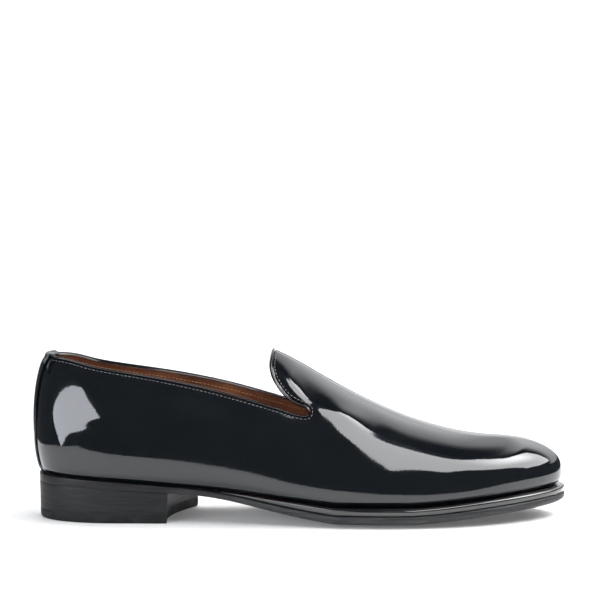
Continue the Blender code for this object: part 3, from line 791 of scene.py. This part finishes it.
def make_lining_fold(grid, normals, ways, material):
    """The lining's edge, turned up over the inner half of the bead."""
    turns = np.linspace(FOLD_START, FOLD_END, FOLD_STEPS + 1)
    rings = [bead_ring(grid, normals, ways, turn) for turn in turns]
    inner = np.stack([ring for ring, _ in rings], axis=1)
    outer = np.stack([ring + outward * FOLD_THICKNESS for ring, outward in rings], axis=1)
    points, faces = grid_shell(inner, outer, True)
    return make_piece("lining_fold", points, faces, material)


def between_lines(values, spot):
    """Values of the upper's grid at a fractional mesh line, row by row."""
    rows = np.arange(values.shape[1])
    line = np.floor(spot).astype(int)
    ahead = (spot - line)[:, None]
    size = len(values)
    return values[line % size, rows] * (1 - ahead) + values[(line + 1) % size, rows] * ahead


def make_back_stay(grid, normals, ways, material):
    """Strip up the counter that folds over the bound edge and ends inside."""
    bases, leans = [], []
    narrowing = np.linspace(STAY_FOOT_SHARE, 1, grid.shape[1])
    turns = np.linspace(0, math.pi, STAY_FOLD_STEPS + 1)
    rings = [bead_ring(grid, normals, ways, turn) for turn in turns]
    for reach in range(-STAY_REACH, STAY_REACH + 1):
        line = between_lines(grid, reach * narrowing)
        outward = between_lines(normals, reach * narrowing)
        base, lean = list(line[:-1]), list(outward[:-1])
        base[0] = line[0] + (line[1] - line[0]) * STAY_FOOT_LIFT
        base += [ring[reach] for ring, _ in rings]
        lean += [out[reach] for _, out in rings]
        for row in range(-2, -2 - STAY_INSIDE_ROWS, -1):
            base.append(line[row] - outward[row] * (WALL + BEAD_OVERHANG))
            lean.append(-outward[row])
        bases.append(base)
        leans.append(lean)
    bases, leans = np.array(bases), np.array(leans)
    points, faces = grid_shell(bases + leans * GAP, bases + leans * (GAP + STAY_THICKNESS), False)
    return make_piece("back_strip", points, faces, material, ("back_stay",))


# Stitching

def stitch_mesh(starts, ways, lifts):
    """Points and faces of many short thread beads, each along a way and half sunk against its lift."""
    points, faces = [], []
    for start, way, lift in zip(starts, ways, lifts):
        cross = np.cross(lift, way)
        first = len(points)
        for ring in range(THREAD_RINGS + 1):
            along = ring / THREAD_RINGS
            bulge = math.sqrt(max(math.sin(math.pi * along), THREAD_BLUNTNESS))
            middle = start + way * STITCH_LENGTH * (along - 0.5)
            for side in range(THREAD_SIDES):
                angle = 2 * math.pi * side / THREAD_SIDES
                outward = math.cos(angle) * cross + math.sin(angle) * lift
                points.append(middle + THREAD_RADIUS * bulge * outward)
        faces += [tuple(first + spot for spot in face) for face in ring_faces(THREAD_RINGS + 1, THREAD_SIDES)]
        last = first + THREAD_RINGS * THREAD_SIDES
        faces.append(tuple(range(first, first + THREAD_SIDES)))
        faces.append(tuple(range(last, last + THREAD_SIDES)))
    return points, faces


def row_below_rim(grid, normals, drop, depth):
    """Closed line on the upper at a distance below its cut edge, sunk from the outer face by a depth."""
    line, outward = [], []
    for column, facing in zip(grid, normals):
        down = np.cumsum(np.linalg.norm(np.diff(column[::-1], axis=0), axis=1))
        down = np.concatenate([[0], down])
        spot = [np.interp(drop, down, column[::-1, axis]) for axis in range(3)]
        way = np.array([np.interp(drop, down, facing[::-1, axis]) for axis in range(3)])
        way /= np.linalg.norm(way)
        line.append(np.array(spot) - way * depth)
        outward.append(way)
    return np.array(line), np.array(outward)


def make_stitch_row(name, line, outward, material):
    """Stitches at an even pitch along a closed line, left out under the back strip."""
    closed = np.vstack([line, line[:1]])
    travel = np.concatenate([[0], np.cumsum(np.linalg.norm(np.diff(closed, axis=0), axis=1))])
    count = int(travel[-1] / STITCH_PITCH)
    spots = (np.arange(count) + 0.5) * travel[-1] / count
    spots = spots[(spots > COVERED_BACK) & (spots < travel[-1] - COVERED_BACK)]
    lifts = np.vstack([outward, outward[:1]])

    def at(values, spot):
        return np.column_stack([np.interp(spot, travel, values[:, axis]) for axis in range(3)])

    starts = at(closed, spots)
    ways = at(closed, spots + STITCH_LENGTH / 2) - at(closed, spots - STITCH_LENGTH / 2)
    ways /= np.linalg.norm(ways, axis=1, keepdims=True)
    ups = at(lifts, spots)
    ups -= ways * np.sum(ups * ways, axis=1, keepdims=True)
    ups /= np.linalg.norm(ups, axis=1, keepdims=True)
    points, faces = stitch_mesh(starts, ways, ups)
    return make_piece(name, points, faces, material)


# Sole and heel

def fan_point(station, side, share, inset=0.0):
    """Point of the bottom at a share of the way from its spine to its edge."""
    spine = min(max(station, HEEL_CENTRE), TOE_CENTRE)
    edge = np.array([station, side * sole_width(station, side)])
    core = np.array([spine, 0.0])
    reach = np.linalg.norm(edge - core)
    return core + (edge - core) * (share - inset / reach)


def sole_lines():
    """Stations of the bottom's mesh lines, at even distances along its edge."""
    stations, arc = outline_arc(sole_width, SOLE_BACK, SHOE_LENGTH)
    return np.interp(np.linspace(0, arc[-1], SOLE_STEPS + 1), arc, stations)


def sole_loop(share, inset, height):
    """Closed loop round the bottom: heel back, lateral side, toe, medial side."""
    stations = sole_lines()
    route = [(station, LATERAL) for station in stations]
    route += [(station, MEDIAL) for station in stations[-2:0:-1]]
    loop = [fan_point(station, side, share, inset * edge_rounding(station)) for station, side in route]
    return [(x, y, height(x, share)) for x, y in loop]


def edge_rounding(station):
    """How rounded the bottom's edge is: cut square over the heel, fully rounded from the waist on."""
    share = np.clip((station - SQUARE_END) / (ROUND_START - SQUARE_END), 0, 1)
    return SQUARE_EDGE + (1 - SQUARE_EDGE) * share


def crowned_bottom(station, share):
    lift = max(0.0, (share - FLAT_SHARE) / (1 - FLAT_SHARE)) ** 2
    return sole_bottom(station) + SOLE["crown"](station) * lift


def make_outsole(material):
    def top(station, share):
        return outsole_top(station)
    loops = [sole_loop(share, 0.0, top) for share in SOLE_RINGS]
    for height_share, inset in OUTSOLE_EDGE:
        def edge_height(x, share, height_share=height_share):
            return crowned_bottom(x, share) + (top(x, share) - crowned_bottom(x, share)) * height_share
        loops.append(sole_loop(1.0, inset, edge_height))
    loops += [sole_loop(share, 0.0, crowned_bottom) for share in SOLE_RINGS[::-1]]
    faces = ring_faces(len(loops), len(loops[0]))
    return make_piece("sole_plate", np.concatenate(loops), faces, material, ("outsole",))


def make_welt(material):
    """Rounded strip between upper and outsole from the lateral waist round the toe to the medial waist."""
    stations = [WELT_START] + [station for station in sole_lines() if station > WELT_START + LEAST_STEP]
    route = [(station, LATERAL) for station in stations]
    route += [(station, MEDIAL) for station in stations[-2::-1]]
    sections = []
    for station, side in route:
        ring = []
        for height_share, inset in WELT_EDGE:
            x, y = fan_point(station, side, 1.0, inset)
            low = outsole_top(x) + GAP
            ring.append((x, y, low + (welt_top(x) - low) * height_share))
        x, y = fan_point(station, side, WELT_INNER)
        ring += [(x, y, outsole_top(x) + GAP), (x, y, welt_top(x))]
        sections.append(ring)
    size = len(sections[0])
    faces = ring_faces(len(sections), size)
    faces.append(tuple(range(size)))
    faces.append(tuple((len(sections) - 1) * size + spot for spot in range(size)))
    return make_piece("welt_strip", np.concatenate(sections), faces, material, ("welt",))


def heel_outline():
    """Plan of the heel: round the back from the lateral corner to the medial one, then the concave breast."""
    back = [station for station in sole_lines() if SOLE_BACK < station < BREAST_LATERAL - HEEL_CORNER]
    lateral = [(s, LATERAL * sole_width(s, LATERAL)) for s in back[::-1]]
    medial = [(s, MEDIAL * sole_width(s, MEDIAL)) for s in back]
    corner_lateral = np.array([BREAST_LATERAL, LATERAL * sole_width(BREAST_LATERAL, LATERAL)])
    corner_medial = np.array([BREAST_MEDIAL, MEDIAL * sole_width(BREAST_MEDIAL, MEDIAL)])
    breast = []
    for share in np.linspace(0, 1, BREAST_STEPS + 1):
        chord = corner_medial + (corner_lateral - corner_medial) * share
        breast.append((chord[0] - BREAST_HOLLOW * 4 * share * (1 - share), chord[1]))
    return np.array([(SOLE_BACK, 0.0)] + medial + breast + lateral)


def heel_loops(top, bottom, edge, taper_top, taper_bottom):
    """Loops of a heel layer with its edge profile, drawn in towards the floor by the taper."""
    outline = heel_outline()
    middle = np.array([HEEL_MIDDLE, 0.0])
    rays = outline - middle
    reach = np.linalg.norm(rays, axis=1, keepdims=True)

    def loop(share, inset, height_share):
        taper = taper_bottom + (taper_top - taper_bottom) * height_share
        plan = middle + rays * share * (1 - (inset + taper) / reach)
        low, high = bottom(plan[:, 0]), top(plan[:, 0])
        return np.column_stack([plan, low + (high - low) * height_share])

    loops = [loop(share, 0.0, 1.0) for share in HEEL_RINGS]
    loops += [loop(1.0, inset, height_share) for height_share, inset in edge]
    loops += [loop(share, 0.0, 0.0) for share in HEEL_RINGS[::-1]]
    return loops


def level(height):
    """A flat face at one height."""
    return lambda stations: np.full(len(stations), height)


def lift_edge():
    """Edge profile of the stack, with a fine groove between its lifts."""
    edge = [(1.0, STACK_BEVEL), (1 - STACK_BEVEL_SHARE, 0.0)]
    for lift in range(HEEL_LIFTS - 1, 0, -1):
        height = lift / HEEL_LIFTS
        above, below = height + LIFT_GROOVE_SHARE, height - LIFT_GROOVE_SHARE
        edge += [(above, 0.0), (height, LIFT_GROOVE_DEPTH), (below, 0.0)]
    return edge + [(STACK_BEVEL_SHARE, 0.0), (0.0, STACK_BEVEL)]


def make_heel(stack_material, rubber):
    def top(stations):
        return sole_bottom(stations) - HEEL_JOINT
    stack = heel_loops(top, level(TOP_PIECE_HEIGHT + HEEL_JOINT), lift_edge(), 0.0, HEEL_TAPER)
    faces = ring_faces(len(stack), len(stack[0]))
    make_piece("heel_lifts", np.concatenate(stack), faces, stack_material, ("heel_stack",))
    piece = heel_loops(level(TOP_PIECE_HEIGHT), level(0.0), TOP_PIECE_EDGE, HEEL_TAPER, HEEL_TAPER)
    faces = ring_faces(len(piece), len(piece[0]))
    make_piece("heel_rubber_layer", np.concatenate(piece), faces, rubber, ("heel_top_piece",))


# Studio

WHITE = (1.0, 1.0, 1.0)
BLACK = (0.0, 0.0, 0.0)
CAMERA_PLACE = (0.0006, -1.35, 0.23)
CAMERA_PITCH = math.radians(4.552)
CAMERA_LENS = 143.4
CAMERA_SENSOR = 36.0

# The floor: how far it runs, the sweep behind it, and the part of it that the gloss sees, as on a table. A
# little light of its own lifts the shadows.
FLOOR_COLOUR = (0.80, 0.80, 0.80)
FLOOR_GLOW = 0.12
FLOOR_SIDE = 3.0
FLOOR_FRONT = -3.0
TABLE_LEFT = -0.34
TABLE_RIGHT = 0.50
TABLE_FRONT = -0.30
SWEEP_START = 0.9
SWEEP_RADIUS = 0.8
SWEEP_HEIGHT = 2.6
SWEEP_STEPS = 16

# Pale reflector above and behind, seen only in the gloss. It brightens backwards over a fade and dims again
# over a longer one. The fade lies further back at the left of one span across the picture and at the right of
# another, and the light grows over a third.
REFLECTOR_HEIGHT = 1.0
REFLECTOR_EDGE = 0.0
REFLECTOR_BACK = 12.0
REFLECTOR_FADE = (0.08, 0.58)
DIM_SPAN = (0.9, 2.6)
DIM_SHARE = 0.5
LEFT_SPAN = (0.36, 0.48)
LEFT_SETBACK = 0.38
RIGHT_SPAN = (0.60, 0.66)
RIGHT_SETBACK = 0.40
GLOW_SPAN = (0.40, 0.60)
REFLECTOR_GLOW_LEFT = 0.88
REFLECTOR_GLOW_RIGHT = 1.75

# The large light: a glowing sheet in a tilted plane, its outline in metres across and up from its place, and
# the spot about which it is hotter
LARGE_LIGHT_PLACE = (0.75, -0.30, 0.80)
LARGE_LIGHT_WAY = (-0.70, 0.27, -0.76)
LARGE_LIGHT_GLOW = 6.5
LARGE_LIGHT_OUTLINE = (
    (-1.15, 0.06), (-0.67, 0.38), (-0.52, 0.52), (-0.10, 0.54), (0.02, 0.46), (0.15, 0.47), (0.33, 0.55),
    (0.45, 0.62), (0.60, 0.54), (0.72, 0.08), (0.80, -0.30), (0.37, -0.46), (0.12, -0.48), (0.00, -0.30),
    (-0.36, 0.12))
HOT_SPOT = (0.25, 0.17)
HOT_GLOW = 14.0
HOT_REACH = 0.42

# The softbox that shows on the counter, the wash that whitens the background, and the room's own dim light
SOFTBOX_PLACE = (-0.98, -0.96, 0.35)
SOFTBOX_WAY = (0.66, 0.71, -0.22)
SOFTBOX_SIZE = (1.5, 0.5)
SOFTBOX_POWER = 15.5
SOFTBOX_ROLL = math.radians(30)
SOFTBOX_TINT = (0.92, 0.94, 1.0)
WASH_PLACE = (0.0, 1.0, 2.3)
WASH_WAY = (0.0, 0.3, -2.3)
WASH_SIZE = (3.0, 1.0)
WASH_POWER = 60.0
ROOM_COLOUR = (0.08, 0.085, 0.09)


def make_camera():
    data = bpy.data.cameras.new("camera")
    data.lens = CAMERA_LENS
    data.sensor_width = CAMERA_SENSOR
    camera = bpy.data.objects.new("camera", data)
    camera.location = CAMERA_PLACE
    camera.rotation_euler = (math.pi / 2 - CAMERA_PITCH, 0.0, 0.0)
    bpy.context.scene.collection.objects.link(camera)
    bpy.context.scene.camera = camera


def glow_material(name, colour=BLACK, roughness=1.0):
    """Material with a white light of its own; returns it with its node tree and shader."""
    material, tree, shader = new_material(name, colour, roughness)
    set_inputs(tree, shader, {"Emission Color": (*WHITE, 1.0)})
    return material, tree, shader


def stage_mesh(name, points, faces, material):
    """A sheet that belongs to the studio, not to the shoe."""
    mesh = bpy.data.meshes.new(name)
    mesh.from_pydata(points, [], faces)
    mesh.materials.append(material)
    sheet = bpy.data.objects.new(name, mesh)
    bpy.context.scene.collection.objects.link(sheet)
    return sheet


def make_sheet(name, profile, material, left=-FLOOR_SIDE, right=FLOOR_SIDE):
    """Sheet swept across the picture along a profile of (Y, Z) points."""
    points = [(x, y, z) for y, z in profile for x in (left, right)]
    faces = [(2 * i, 2 * i + 1, 2 * i + 3, 2 * i + 2) for i in range(len(profile) - 1)]
    return stage_mesh(name, points, faces, material)


def make_floor():
    """White floor that sweeps up behind the shoe. Only a table's width of it is seen in the gloss."""
    material, tree, shader = glow_material("floor_white", FLOOR_COLOUR, 0.6)
    set_inputs(tree, shader, {"Specular IOR Level": 0.1, "Emission Strength": FLOOR_GLOW})
    depth = [(TABLE_FRONT, 0.0), (SWEEP_START, 0.0)]
    make_sheet("floor", depth, material, TABLE_LEFT, TABLE_RIGHT)
    profile = [(SWEEP_START, 0.0)]
    for step in range(1, SWEEP_STEPS + 1):
        angle = math.pi / 2 * step / SWEEP_STEPS
        profile.append((SWEEP_START + SWEEP_RADIUS * math.sin(angle), SWEEP_RADIUS * (1 - math.cos(angle))))
    profile.append((SWEEP_START + SWEEP_RADIUS, SWEEP_HEIGHT))
    sweep = make_sheet("floor_sweep", profile, material)
    sweep.data.shade_smooth()
    front = make_sheet("floor_front", [(FLOOR_FRONT, 0.0), (TABLE_FRONT, 0.0)], material)
    left = make_sheet("floor_left", depth, material, right=TABLE_LEFT)
    right = make_sheet("floor_right", depth, material, left=TABLE_RIGHT)
    for sheet in (sweep, front, left, right):
        sheet.visible_glossy = False


def make_reflector():
    """Pale sheet that gives the crest its soft grey and comes down to the floor far behind."""
    material, tree, shader = glow_material("reflector_glow")
    parts = axis_parts(tree)
    left = map_range(tree, parts["X"], LEFT_SPAN, -LEFT_SETBACK, 0.0)
    right = map_range(tree, parts["X"], RIGHT_SPAN, 0.0, -RIGHT_SETBACK)
    depth = calculate(tree, "ADD", parts["Y"], calculate(tree, "ADD", left, right))
    fade = map_range(tree, depth, REFLECTOR_FADE, 0.0, 1.0, smooth=True)
    glow = map_range(tree, parts["X"], GLOW_SPAN, REFLECTOR_GLOW_LEFT, REFLECTOR_GLOW_RIGHT)
    dim = map_range(tree, parts["Y"], DIM_SPAN, 1.0, DIM_SHARE)
    light = calculate(tree, "MULTIPLY", fade, calculate(tree, "MULTIPLY", glow, dim))
    set_inputs(tree, shader, {"Emission Strength": light})
    front = (REFLECTOR_EDGE, REFLECTOR_HEIGHT)
    corner = (REFLECTOR_BACK, REFLECTOR_HEIGHT)
    foot = (REFLECTOR_BACK, 0.0)
    sheet = make_sheet("reflector", (front, corner, foot), material)
    sheet.visible_camera = False
    sheet.visible_diffuse = False
    sheet.visible_shadow = False


def make_large_light():
    """The large light's sheet, seen by everything but the camera, with its glow rising to the hot spot."""
    way = Vector(LARGE_LIGHT_WAY).normalized()
    across = way.cross(Vector((0.0, 0.0, 1.0))).normalized()
    up = across.cross(way)
    place = Vector(LARGE_LIGHT_PLACE)
    material, tree, shader = glow_material("large_light_glow")
    hot_place = place + across * HOT_SPOT[0] + up * HOT_SPOT[1]
    distance = add_node(tree, "VectorMath", {0: object_place(tree), 1: hot_place})
    distance.operation = "DISTANCE"
    span = (0.0, HOT_REACH)
    glow = map_range(tree, distance.outputs["Value"], span, HOT_GLOW, LARGE_LIGHT_GLOW, smooth=True)
    set_inputs(tree, shader, {"Specular IOR Level": 0.0, "Emission Strength": glow})
    corners = [place + across * right + up * rise for right, rise in LARGE_LIGHT_OUTLINE]
    sheet = stage_mesh("large_light", corners, [tuple(range(len(corners)))], material)
    sheet.visible_camera = False
    sheet.visible_shadow = False


def make_light(name, place, way, size, power, roll=0.0, colour=WHITE):
    """Rectangular softbox that shines one way, rolled about it."""
    data = bpy.data.lights.new(name, "AREA")
    data.shape = "RECTANGLE"
    data.size, data.size_y = size
    data.energy = power
    data.color = colour
    light = bpy.data.objects.new(name, data)
    light.location = place
    turn = Vector(way).to_track_quat("-Z", "Y") @ Quaternion((0.0, 0.0, 1.0), roll)
    light.rotation_euler = turn.to_euler()
    bpy.context.scene.collection.objects.link(light)
    return light


def make_world():
    """The room: a dim even light, shown without any change of contrast."""
    world = bpy.data.worlds.new("studio")
    world.use_nodes = True
    background = world.node_tree.nodes["Background"]
    set_inputs(world.node_tree, background, {"Color": (*ROOM_COLOUR, 1.0), "Strength": 1.0})
    bpy.context.scene.world = world
    bpy.context.scene.view_settings.view_transform = "Standard"


def make_studio():
    make_camera()
    make_floor()
    make_reflector()
    make_large_light()
    make_light(
        "softbox_left", SOFTBOX_PLACE, SOFTBOX_WAY, SOFTBOX_SIZE, SOFTBOX_POWER, SOFTBOX_ROLL, SOFTBOX_TINT)
    wash = make_light("background_wash", WASH_PLACE, WASH_WAY, WASH_SIZE, WASH_POWER)
    wash.visible_glossy = False
    make_world()


def dress_insole(material):
    """The footbed keeps its solid and takes the leather of the lining."""
    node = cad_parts["insole"]
    node.data.materials.clear()
    node.data.materials.append(material)


def main():
    patent = patent_material()
    lining = lining_material("russet_lining", dark=(0.150, 0.058, 0.028), light=(0.360, 0.145, 0.072))
    footbed = lining_material("russet_footbed", dark=(0.160, 0.064, 0.030), light=(0.310, 0.130, 0.062))
    edge = streaked_material(
        "sole_edge_wax", dark=(0.015, 0.016, 0.017), light=(0.050, 0.051, 0.054),
        smoothest=0.36, roughest=0.48, streak=12.0, rear_shade=0.35)
    stack = streaked_material(
        "heel_stack_wax", dark=(0.006, 0.0065, 0.0072), light=(0.017, 0.018, 0.020),
        smoothest=0.42, roughest=0.55, streak=14.0)
    grid = creased(upper_grid())
    normals = grid_normals(grid)
    ways = rim_ways(grid, normals)
    make_upper(grid, normals, patent)
    make_lining(grid, normals, lining)
    make_topline_binding(grid, normals, ways, patent)
    make_lining_fold(grid, normals, ways, lining)
    make_back_stay(grid, normals, ways, patent)
    line, outward = row_below_rim(grid, normals, STITCH_DROP, 0.0)
    make_stitch_row("topline_stitches", line, outward, thread_material())
    line, outward = row_below_rim(grid, normals, LINING_STITCH_DROP, WALL)
    make_stitch_row("lining_stitches", line, -outward, lining_thread_material())
    make_outsole(edge)
    make_welt(welt_material())
    make_heel(stack, rubber_material())
    dress_insole(footbed)
    make_studio()


main()
